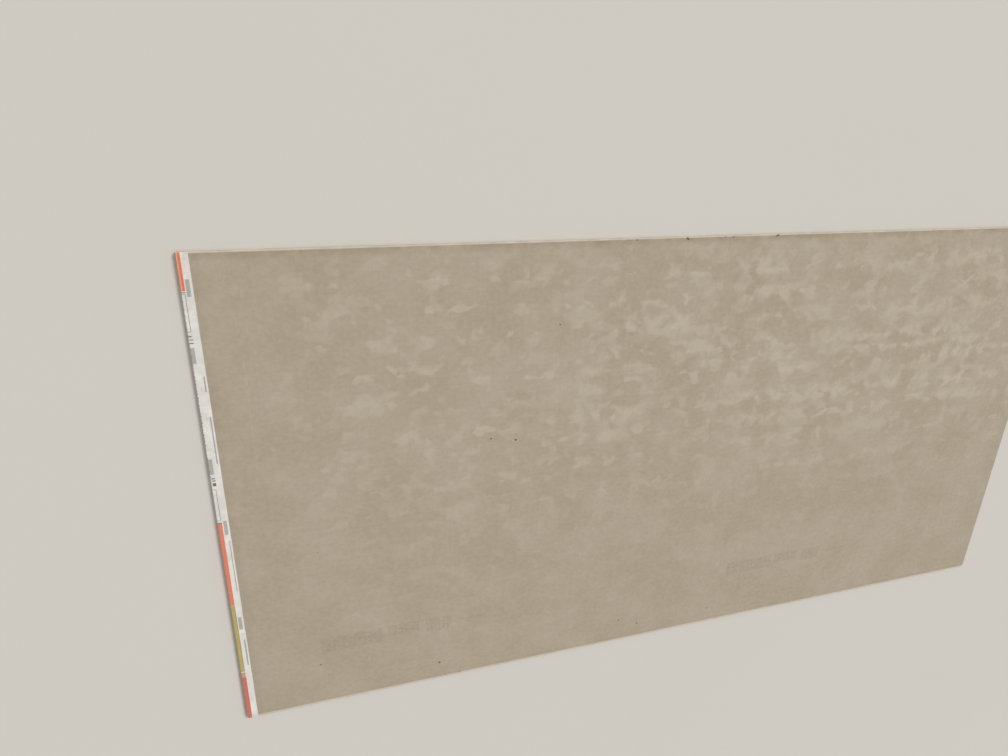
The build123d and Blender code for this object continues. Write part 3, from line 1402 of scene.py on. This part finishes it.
class FibreTree(ShapeTree):
    """Grows bent, tapered fibres from root points."""

    sizes = ("Length", "Width", "Thickness")

    def __init__(self) -> None:
        """Builds the tree."""
        super().__init__("loose fibres", {**dict.fromkeys((*self.sizes, "Curl"), "Float"), "Seed": "Int"})
        length = self.given["Length"]
        line = self.add("GeometryNodeCurveQuadraticBezier", {
            "Resolution": 5, "Start": ORIGIN, "Middle": self.join(length * 0.5, 0.0),
            "End": self.join(length * 0.85, 0.0, length * self.given["Curl"]),
        })
        taper = 1.0 - self.add("GeometryNodeSplineParameter", output="Factor") * 0.8
        strand = self.add("GeometryNodeCurvePrimitiveCircle", {"Resolution": 6, "Radius": 0.5})
        flat = self.add("GeometryNodeTransform", {
            "Geometry": strand, "Scale": self.join(self.given["Thickness"], self.given["Width"], 1.0)})
        fibre = self.add("GeometryNodeCurveToMesh", {
            "Curve": line, "Profile Curve": flat, "Scale": taper, "Fill Caps": True})
        way = self.noted("lean") + self.random_turn((0.5, 0.35, 0.9))
        aim = self.add("FunctionNodeAlignRotationToVector", {"Vector": way}, axis="X")
        size = self.add("FunctionNodeRandomValue", {2: 0.35, 3: 1.25, "Seed": self.given["Seed"]}, 1,
                        data_type="FLOAT")
        self.close(self.planted(self.given["Geometry"], fibre, aim, size))

    def grow(self, roots: np.ndarray, lean: np.ndarray, sizes: dict[str, float], seed: int,
             material: bpy.types.Material) -> bpy.types.Mesh:
        """Grows one fibre from each root.

        Args:
            roots: Root points in millimetres.
            lean: The way in which each fibre starts.
            sizes: Length, Width and Thickness in millimetres, and Curl as a share of the length.
            seed: Which random turns and lengths.
            material: What the fibres wear.

        Returns:
            All of them as one plain mesh in metres.
        """
        maker = noted_points("roots", roots, "lean", lean)
        scaled = {key: value * (MM if key in self.sizes else 1.0) for key, value in sizes.items()}
        mesh = self.apply(maker, {**scaled, "Seed": seed, "Material": material})
        bpy.data.objects.remove(maker)
        return mesh


def noted_points(name: str, points: np.ndarray, note: str, vectors: np.ndarray) -> bpy.types.Object:
    """Makes an object of bare points that each keep a vector.

    Args:
        name: The object's name.
        points: Its points in millimetres.
        note: The name under which the vectors are kept.
        vectors: One vector for each point.

    Returns:
        The object, in the scene.
    """
    made = raw_object(name, points, [], [])
    layer = made.data.attributes.new(note, "FLOAT_VECTOR", "POINT")
    layer.data.foreach_set("vector", vectors.astype(np.float32).ravel())
    return made


@dataclass
class Layer:
    """What each piece of the sheet is made from."""

    board: Board
    wear: Wear
    finish: Finish


@dataclass
class FacePaper(Layer):
    """The pale paper: a thin closed section round the face, both long edges and the two folds."""

    sweeps: SweepTree
    coarse: float = 24.0
    fine: float = 0.9
    end_detail: float = 3.2

    def build(self) -> bpy.types.Object:
        """Sweeps, wears and dresses the paper.

        Returns:
            The piece.
        """
        board = self.board
        detail = self.wear.along_x() + [(end, self.end_detail) for end in (board.taped_end, board.bare_end)]
        stations = spread(board.taped_end, board.bare_end, self.coarse, self.fine, detail)
        section = np.concatenate([board.outline()[0], board.inside()[::-1]])[::-1]
        piece = self.sweeps.sweep("face_paper_folded", section, stations, self.finish.material())
        mesh = piece.data
        sound(mesh)
        moved, worn = self.wear.press(read(mesh.vertices, "co", 3).astype(float) / MM)
        mesh.vertices.foreach_set("co", (moved * MM).astype(np.float32).ravel())
        note_wear_and_shade(mesh, worn)
        return piece


@dataclass
class BackPaper(Layer):
    """The brown paper glued over the core and both folds, cut a little uneven along its edges."""

    coarse: float = 42.0
    fine: float = 0.8
    waver: float = 0.35
    pit_grid: float = 0.75
    run_step: float = 7.0
    rise_step: float = 3.0
    drop_step: float = 1.6

    def _rim(self) -> np.ndarray:
        """The paper's outline (x, y), anticlockwise.

        Returns:
            One row for each point.
        """
        board = self.board
        x0, x1, y0, y1 = board.taped_end, board.bare_end, board.back_low_y, board.back_high_y
        run = spread(x0, x1, self.run_step, self.fine, self.wear.along_x())
        rise = spread(y0, y1, self.rise_step, self.fine, self.wear.along_y())
        drop = spread(y0, y1, self.drop_step, 1.0, [])
        low = np.c_[run, y0 + self.waver * swell(run / 37, 31)]
        high = np.c_[run, y1 - self.waver * swell(run / 37, 32)]
        ragged = 0.25 * swell(drop / 2.7, 33) + self.waver * np.clip(wobble(drop / 6.5, 34) - 0.35, 0, 1)
        far = np.c_[x1 - ragged, drop]
        near = np.c_[np.full(len(rise), x0), rise]
        low[0, 0], low[-1] = x0, far[0]
        high[0, 0], high[-1] = x0, far[-1]
        near[0], near[-1] = low[0], high[0]
        return np.concatenate([low[:-1], far[:-1], high[::-1][:-1], near[::-1][:-1]])

    def _inner(self) -> np.ndarray:
        """Points inside the outline, close together only where the paper is bent.

        Returns:
            One row for each point.
        """
        board, rng = self.board, np.random.default_rng(5)
        x0, x1, y0, y1 = board.taped_end, board.bare_end, board.back_low_y, board.back_high_y
        coarse = lattice(np.arange(x0 + 20, x1 - 10, self.coarse), np.arange(y0 + 18, y1 - 10, self.coarse))
        found = [coarse + rng.uniform(-9, 9, coarse.shape)]
        for x, y, radius, *_ in self.wear.pocks:
            reach = radius * 1.25
            steps = np.arange(-reach, reach + 0.1, self.pit_grid)
            patch = lattice(x + steps, y + steps)
            found.append(patch + rng.uniform(-0.12, 0.12, patch.shape))
        for arris, edge, inward in ((self.wear.arrises[0], y1, -1), (self.wear.arrises[1], y0, 1)):
            across = edge + inward * np.arange(0.7, 9.5, self.fine)
            for dent in arris.dents:
                half = dent.half() + 1
                found.append(lattice(np.arange(dent.along - half, dent.along + half, self.fine), across))
        rise = spread(y0 + 0.8, y1 - 0.8, self.rise_step, self.fine, self.wear.along_y())
        found += [lattice([x0 + inset], rise) for inset in (0.6, 1.2, 2.0, 3.0, 4.2, 5.6)]
        drop = np.arange(y0 + 1.3, y1 - 1.3, 2.4)
        found += [lattice([x1 - inset], drop) for inset in (1.1, 2.4, 4.4)]
        points = np.concatenate(found)
        keep = (points[:, 0] > x0 + 0.4) & (points[:, 0] < x1 - 0.9)
        keep &= (points[:, 1] > y0 + 0.5) & (points[:, 1] < y1 - 0.5)
        return points[keep]

    def build(self) -> bpy.types.Object:
        """Makes the paper's two sides and its cut edge.

        Returns:
            The piece.
        """
        rim = self._rim()
        flat, triangles = fill(rim, self._inner())
        shift, count = len(flat), len(rim)
        sides = [np.c_[flat, np.full(shift, top)] for top in (self.board.back_top, self.board.wrapped_top)]
        faces = triangles + [tuple(shift + k for k in face[::-1]) for face in triangles]
        faces += ring_faces(list(range(shift, shift + count)), list(range(count)))
        moved, worn = self.wear.press(np.concatenate(sides))
        return mesh_object("back_paper_sheet", moved, faces, self.finish.material(), worn)


def fill(rim: np.ndarray, inner: np.ndarray) -> tuple[np.ndarray, Faces]:
    """Fills an outline with triangles through the given inner points.

    Args:
        rim: The outline, anticlockwise, which keeps its numbers.
        inner: More points, all inside it.

    Returns:
        All the points, and each triangle's point numbers, anticlockwise.
    """
    count = len(rim)
    every = np.concatenate([rim, inner])
    edges = [(k, (k + 1) % count) for k in range(count)]
    made = geometry.delaunay_2d_cdt([Vector(p) for p in every], edges, [], 1, 1e-5)
    if len(made[0]) != len(every):
        raise ValueError(f"triangulation kept {len(made[0])} of {len(every)} points")
    result = []
    for face in made[2]:
        a, b, c = (made[3][k][0] for k in face)
        turn = np.cross(every[b] - every[a], every[c] - every[a])
        result.append((a, b, c) if turn > 0 else (a, c, b))
    return every, result


@dataclass
class GypsumCore(Layer):
    """The white core, with a grainy cut face at each end; its hidden arrises give way to the dents."""

    rim_step: float = 2.1
    grain: float = 1.45
    relief: float = 0.55
    pore_depth: float = 0.5
    clear_of_arris: float = 13.0
    hidden_from: float = 6.0
    rim_gap: float = 0.55
    underside_limit: float = 4.0

    def _ring(self) -> np.ndarray:
        """The core's section (y, z), anticlockwise as seen from +X, with points close together.

        Returns:
            The ring.
        """
        board = self.board
        fold = board.half_width - board.fold_width
        ends = [[[side * fold, board.wrapped_top]] for side in (1, -1)]
        corners = np.concatenate([ends[0], board.inside(), ends[1]])[::-1]
        ring: list[np.ndarray] = []
        for first, second in zip(corners, np.roll(corners, -1, axis=0)):
            steps = max(1, math.ceil(np.linalg.norm(second - first) / self.rim_step))
            ring += [first + (second - first) * k / steps for k in range(steps)]
        return np.array(ring)

    def _hidden(self, ring: np.ndarray) -> np.ndarray:
        """The section away from the ends: its upper corners stay clear of the worn arrises.

        Args:
            ring: The section at the ends.

        Returns:
            The hidden section, with as many points.
        """
        across = self.board.half_width - self.board.paper - np.abs(ring[:, 0])
        below = self.board.wrapped_top - ring[:, 1]
        lack = np.clip(self.clear_of_arris - across - below, 0, None) / 2
        return np.c_[ring[:, 0] - np.sign(ring[:, 0]) * lack, ring[:, 1] - lack]

    def _top(self, flat: np.ndarray) -> np.ndarray:
        """Height of the core's top.

        Args:
            flat: Places (y, z) of its section.

        Returns:
            One height for each place.
        """
        board, out = self.board, np.abs(flat[:, 0])
        into_corner = np.clip(out - board.half_width + board.back_corner_radius, 0, None)
        folded = out > board.half_width - board.fold_width
        return board.wrapped_top - board.paper * folded - 0.6 * into_corner

    def _end(self, ring: np.ndarray, at: float, inward: float, seed: int) -> tuple[np.ndarray, Faces]:
        """One cut face, with grain and open pores pressed into it.

        Args:
            ring: The section.
            at: Its place along X.
            inward: The sign of the way into the board.
            seed: Which grain.

        Returns:
            Points and triangles; the ring's points come first.
        """
        board, rng = self.board, np.random.default_rng(seed)
        line = underside(ring, self.underside_limit)
        inner = lattice(np.arange(1.6 - board.half_width, board.half_width - 1.6, self.grain),
                        np.arange(1.0, board.wrapped_top - 0.8, self.grain))
        inner = inner + rng.uniform(-0.35, 0.35, inner.shape)
        out = np.abs(inner[:, 0])
        wide = out < board.half_width - board.fold_width - 1
        ceiling = np.where(wide, board.wrapped_top, board.wrapped_top - board.paper)
        ceiling = ceiling - np.clip(out - board.half_width + 2.6, 0, 3) * 0.9
        keep = inner[:, 1] > np.interp(inner[:, 0], *line) + self.rim_gap
        flat, faces = fill(ring, inner[keep & (inner[:, 1] < ceiling - self.rim_gap)])
        depth = self.relief * (0.5 + 0.3 * wobble(flat / 2.1, seed) + 0.2 * wobble(flat / 7.0, seed + 1))
        pores = self.pore_depth * np.clip(3 * wobble(flat / 1.5, seed + 2) - 1.5, 0, 1)
        rim = np.minimum(flat[:, 1] - np.interp(flat[:, 0], *line), self._top(flat) - flat[:, 1])
        depth = (depth + pores) * (0.35 + 0.65 * np.clip(rim / 2.4, 0, 1))
        points = np.c_[at + inward * np.clip(depth, 0.02, 1.2), flat]
        return points, faces if inward < 0 else [face[::-1] for face in faces]

    def build(self) -> bpy.types.Object:
        """Makes both ends and the sides between them.

        Returns:
            The piece.
        """
        board, ring = self.board, self._ring()
        hidden, count = self._hidden(ring), len(ring)
        near, near_faces = self._end(ring, board.taped_end, 1.0, 41)
        far, far_faces = self._end(ring, board.bare_end, -1.0, 52)
        between = (board.taped_end + self.hidden_from, board.bare_end - self.hidden_from)
        points = np.concatenate([near, far, *(np.c_[np.full(count, x), hidden] for x in between)])
        starts = [0, len(near) + len(far), len(near) + len(far) + count, len(near)]
        rows = [list(range(start, start + count)) for start in starts]
        faces = list(near_faces) + [tuple(len(near) + k for k in face) for face in far_faces]
        for first, second in zip(rows, rows[1:]):
            faces += ring_faces(first, second)
        moved, worn = self.wear.press(points)
        return mesh_object("gypsum_core_slab", moved, faces, self.finish.material(), worn)


@dataclass
class EndTape(Layer):
    """The printed tape over the taped end: flat on the back, creased, and down the end."""

    bites: BiteTree
    wide_at_minus_y: float = 25.4
    wide_at_plus_y: float = 22.9
    sheet: float = 0.12
    lift: float = 0.07
    crease: float = 0.45
    notch_drop: float = 1.9
    blank: tuple[float, float] = (0.012, 0.892)
    notch_rough: float = 1.7
    # How much of the dents' wear and painted shade shows on the tape
    wear_and_shade_shown: float = 0.3
    wrinkle_at: float = 22.0
    wrinkle_half: float = 14.0
    # Where the columns lie: as shares of the width on the back, of the crease's turn, and down the end
    on_back = (1.0, 0.985, 0.95, 0.9, 0.84, 0.78, 0.72, 0.66, 0.6, 0.55, 0.51, 0.48, 0.455, 0.43, 0.405, 0.38,
               0.355, 0.33, 0.29, 0.25, 0.21, 0.175, 0.145, 0.115, 0.088, 0.065, 0.045)
    in_crease = (0.0, 0.2, 0.4, 0.6, 0.8, 1.0)
    down_end = (0.065, 0.1, 0.15, 0.22, 0.3, 0.4, 0.5, 0.6, 0.7, 0.8, 0.9, 0.97, 1.0)

    def _rows(self) -> np.ndarray:
        """Places across the sheet at which the tape is cut into rows.

        Returns:
            Sorted places.
        """
        half = self.board.tape_half
        edges = [(-half, 4), (half, 4), (self.board.back_high_y, 2), (self.board.back_low_y, 2)]
        wrinkle = (self.wrinkle_at - half, self.wrinkle_half + 1)
        return spread(-half, half, 3.4, 0.8, [*self.wear.along_y(), wrinkle, *edges])

    def _width(self, y: np.ndarray) -> np.ndarray:
        """How far in the tape reaches on the back, with its cut edge a little uneven.

        Args:
            y: Places across the sheet.

        Returns:
            One width for each place.
        """
        share = (y + self.board.half_width) / (2 * self.board.half_width)
        straight = self.wide_at_minus_y + (self.wide_at_plus_y - self.wide_at_minus_y) * share
        return straight + 0.22 * wobble(y / 41, 61) + 0.1 * wobble(y / 5, 62)

    def _skin(self, rows: np.ndarray, outside: bool) -> tuple[np.ndarray, np.ndarray]:
        """The tape's outer or inner side.

        Args:
            rows: Places across the sheet.
            outside: Whether it is the printed side.

        Returns:
            Points with one block for each column, and the unfolded place of each.
        """
        end, base, width = self.board.taped_end, self.board.back_height(rows), self._width(rows)
        foot = np.maximum(self.board.tape_low, self.board.face_height(rows) + 0.15)
        thick = (self.sheet + self.lift * swell(rows / 9.0, 64)) * outside
        points, unfolded = [], []
        for share in self.on_back:
            across = np.maximum(width * share, self.crease)
            puff = self.lift * swell(np.c_[across / 6.5, rows / 13.0], 63) * fade(1 - across / 9)
            puff = np.clip(np.maximum(puff, self._wrinkle(across, rows)), 0, self.lift)
            points.append(np.c_[end + across, rows, base + (self.sheet + puff) * outside])
            unfolded.append(np.c_[across, rows])
        for share in self.in_crease:
            sine, cosine = math.sin(QUARTER * share), math.cos(QUARTER * share)
            points.append(np.c_[end + self.crease * (1 - sine) - thick * sine, rows,
                                base - self.crease * (1 - cosine) + self.sheet * outside * cosine])
            unfolded.append(np.c_[np.full(len(rows), self.crease * (1 - 2 * share)), rows])
        for share in self.down_end:
            fall = (base - self.crease - foot) * share
            points.append(np.c_[end - thick * (1 - 0.3 * share), rows, base - self.crease - fall])
            unfolded.append(np.c_[-self.crease - fall, rows])
        return np.concatenate(points), np.concatenate(unfolded)

    def _wrinkle(self, across: np.ndarray, rows: np.ndarray) -> np.ndarray:
        """A short pinched ridge near the corner at -Y.

        Args:
            across: Distances from the crease.
            rows: Places across the sheet.

        Returns:
            The ridge's height at each.
        """
        along = rows + self.board.half_width
        middle = 10.4 + 1.6 * np.sin((along - 10) / 8)
        ridge = self.lift * fade(np.abs(across - middle) / 1.3)
        return ridge * fade(np.abs(along - self.wrinkle_at) / self.wrinkle_half)

    def build(self) -> bpy.types.Object:
        """Makes the tape as one closed skin with its print laid out flat.

        Returns:
            The piece.
        """
        rows = self._rows()
        (outer, flat), (inner, _) = self._skin(rows, True), self._skin(rows, False)
        count, shift = len(rows), len(outer)
        columns = shift // count
        faces = []
        for c in range(columns - 1):
            for a in range(c * count, c * count + count - 1):
                b = a + count
                faces.append((a, a + 1, b + 1, b))
                faces.append((shift + a, shift + b, shift + b + 1, shift + a + 1))
        last = (columns - 1) * count
        border = [*range(count), *range(2 * count - 1, last, count), *range(last + count - 1, last - 1, -1),
                  *range(last - count, 0, -count)]
        faces += ring_faces([shift + k for k in border], border)
        moved, worn = self.wear.press(np.concatenate([outer, inner]))
        piece = mesh_object("end_tape_printed", moved, faces, self.finish.material(), self.wear_and_shade_shown * worn)
        place = np.concatenate([flat, flat]) + [0.0, self.board.half_width]
        order = [corner.vertex_index for corner in piece.data.loops]
        layer = piece.data.uv_layers.new(name=TAPE_MAP)
        layer.data.foreach_set("uv", (place[order] * MM).astype(np.float32).ravel())
        self._tear(piece)
        return piece

    def _tear(self, piece: bpy.types.Object) -> None:
        """Bites notches where the tape was torn along its crease.

        Args:
            piece: The tape, changed in place.
        """
        board, rng = self.board, np.random.default_rng(29)
        places, sizes = [], []
        for dent in self.wear.scallops:
            deep, down = dent.reach - self.wear.scallop_rim, self.notch_drop * rng.uniform(0.5, 1.3)
            beside = dent.half_length * rng.uniform(0.5, 0.9) * rng.choice((-1, 1))
            for shift, share in ((0.0, 1.0), (beside, rng.uniform(0.35, 0.65))):
                places.append((board.tape_outer - 0.2, dent.along + shift, board.tape_top + 0.2))
                sizes.append((share * deep + 0.3, share * dent.half_length, share * down + 0.2))
        self.bites.bite(piece, np.array(places), np.array(sizes), self.notch_rough, 4)
        sound(piece.data)
        shade(piece.data)
        corners = piece.data.uv_layers[TAPE_MAP].data
        print_places = read(corners, "uv", 2)
        print_places[np.abs(print_places).max(1) < 1e-6] = self.blank
        corners.foreach_set("uv", print_places.ravel())


@dataclass
class LooseFibres(Layer):
    """Torn paper at the nicks and along the bare end: fine fibres and a few flakes."""

    fibres: FibreTree
    per_nick: int = 16
    along_end: int = 150
    flake_every: int = 5
    lowest: float = 0.5

    def _roots(self) -> tuple[np.ndarray, np.ndarray, int]:
        """Plants the fibres, at the nicks first and then along the bare end.

        Returns:
            Where fibres start, the way in which each leans, and how many of them stand at nicks.
        """
        board, rng = self.board, np.random.default_rng(17)
        roots, lean = [], []
        for arris in self.wear.arrises[:2]:
            sign = math.copysign(1, arris.side)
            for dent in arris.dents:
                for _ in range(int(self.per_nick * min(1.5, dent.depth))):
                    along = dent.along + dent.half_length * rng.uniform(-0.9, 0.9)
                    roots.append((along, arris.side - sign * rng.uniform(0.5, 3.2), board.wrapped_top))
                    lean.append((rng.uniform(-1, 1), sign * 0.4, 0.1))
        at_nicks = len(roots)
        for _ in range(self.along_end):
            y = rng.uniform(board.back_low_y + 2, board.back_high_y - 2)
            roots.append((board.bare_end - rng.uniform(0.4, 1.0), y, board.back_top - 0.1))
            lean.append((0.5, rng.uniform(-1, 1), -0.7))
        return self.wear.press(np.array(roots))[0], np.array(lean), at_nicks

    def build(self) -> bpy.types.Object:
        """Grows both kinds and squeezes each one into the sheet's own box.

        Returns:
            The piece.
        """
        board, material = self.board, self.finish.material()
        roots, lean, at_nicks = self._roots()
        every, flakes = slice(None), slice(0, at_nicks, self.flake_every)
        fine = {"Length": 2.6, "Width": 0.09, "Thickness": 0.06, "Curl": 0.25}
        broad = {"Length": 2.9, "Width": 1.1, "Thickness": 0.12, "Curl": 0.12}
        low = (board.taped_end, -board.half_width, self.lowest)
        high = (board.bare_end, board.half_width, board.tape_top)
        points, faces = [], []
        for chosen, sizes, seed in ((every, fine, 3), (flakes, broad, 8)):
            mesh = self.fibres.grow(roots[chosen], lean[chosen], sizes, seed, material)
            start = sum(len(part) for part in points)
            each = read(mesh.vertices, "co", 3).reshape(len(roots[chosen]), -1, 3).astype(float) / MM
            first, last = each.min(1, keepdims=True), each.max(1, keepdims=True)
            room = np.clip(last, low, high) - np.clip(first, low, high)
            each = np.clip(first, low, high) + (each - first) * room / (last - first)
            points.append(each.reshape(-1, 3))
            faces += [tuple(start + k for k in polygon.vertices) for polygon in mesh.polygons]
            bpy.data.meshes.remove(mesh)
        return mesh_object("torn_paper_fibres", np.concatenate(points), faces, material)


@dataclass(frozen=True)
class Studio:
    """The camera of the photograph, a pale floor and soft light."""

    board: Board
    eye: tuple[float, float, float] = (-0.9749, 0.8443, 1.4484)
    right: tuple[float, float, float] = (0.9579, 0.0171, 0.2867)
    up: tuple[float, float, float] = (0.0852, 0.9363, -0.3406)
    lens: float = 23.55
    sensor: float = 36.0
    nearest: float = 0.01
    floor_colour: Colour = srgb(205, 202, 196)
    floor_shade: Colour = srgb(190, 187, 181)
    floor_half: float = 30000.0
    key_strength: float = 2.3
    key_place: tuple[float, float, float] = (5.6, 5.3, 7.8)
    key_softness: float = math.radians(20)
    key_colour: Colour = (1.0, 0.98, 0.95)
    world_colour: Colour = (1.0, 0.985, 0.96)
    world_strength: float = 0.5
    seen_strength: float = 0.9

    def camera(self) -> None:
        """Sets the scene's camera."""
        data = bpy.data.cameras.new("camera")
        data.lens, data.sensor_width, data.clip_start = self.lens, self.sensor, self.nearest
        camera = link("camera", data)
        across = Vector(self.right).normalized()
        back = across.cross(Vector(self.up)).normalized()
        turn = Matrix((across, back.cross(across), back)).transposed().to_4x4()
        camera.matrix_world = Matrix.Translation(self.eye) @ turn
        bpy.context.scene.camera = camera

    def key_light(self) -> None:
        """Adds soft, even light that falls from beyond the +Y edge and the bare end."""
        data = bpy.data.lights.new("key light", "SUN")
        data.angle, data.energy, data.color = self.key_softness, self.key_strength, self.key_colour
        lamp = link("key light", data)
        lamp.location = self.key_place
        lamp.rotation_mode = "QUATERNION"
        lamp.rotation_quaternion = lamp.location.to_track_quat("Z", "Y")

    def floor(self) -> None:
        """Lays a large pale floor with a faint unevenness of tone."""
        surface, half = Surface("pale floor", self.board, self.floor_colour), self.floor_half
        surface.cover(surface.place.noise(1 / 900, 3.0) * 0.12, self.floor_shade)
        material = surface.finish(0.9, surface.place.noise(1 / 6, 3.0), 0.02, 0.2)
        corners = np.array([(-half, -half, 0), (half, -half, 0), (half, half, 0), (-half, half, 0)], float)
        plane = mesh_object("floor", corners, [(0, 1, 2, 3)], material)

    def world(self) -> None:
        """Lights the scene evenly from all round and shows a pale background."""
        world = bpy.data.worlds.new("studio")
        world.use_nodes = True
        graph = Graph(world.node_tree)
        path = graph.add("ShaderNodeLightPath")
        seen = graph.most([path[f"Is {kind} Ray"] for kind in ("Camera", "Glossy", "Transmission")])
        background = world.node_tree.nodes["Background"].inputs
        graph.put(background["Color"], self.world_colour)
        more = self.seen_strength - self.world_strength
        graph.put(background["Strength"], self.world_strength + seen * more)
        bpy.context.scene.world = world

    def build(self) -> None:
        """Sets up all of it."""
        bpy.context.scene.view_settings.view_transform = "Standard"
        self.camera()
        self.floor()
        self.world()
        self.key_light()


def main() -> None:
    """Builds the studio and then the sheet, piece by piece."""
    logging.basicConfig(level=logging.INFO, format="%(name)s: %(message)s")
    board = Board.from_frame()
    Studio(board).build()
    wear, effects = Wear(board), Effects()
    pieces = (
        (GypsumCore(board, wear, GypsumFinish(effects, board)), "gypsum_core", "gypsum"),
        (FacePaper(board, wear, IvoryPaperFinish(effects, board), SweepTree()), "face_paper", "ivory_paper"),
        (BackPaper(board, wear, BrownPaperFinish(effects, board)), "back_paper", "brown_paper"),
        (EndTape(board, wear, TapeFinish(effects, board), BiteTree()), "end_tape", "printed_tape"),
        (LooseFibres(board, wear, LooseFibreFinish(effects, board), FibreTree()), None, "brown_paper"),
    )
    for maker, node, slot in pieces:
        piece = maker.build()
        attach(piece, "root")
        if node:
            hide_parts(node)
        piece.data.calc_loop_triangles()
        count = len(piece.data.loop_triangles)
        LOG.info("%s: %d triangles, stands for %s", piece.name, count, node or "nothing in the frame")


if __name__ == "__main__":
    main()
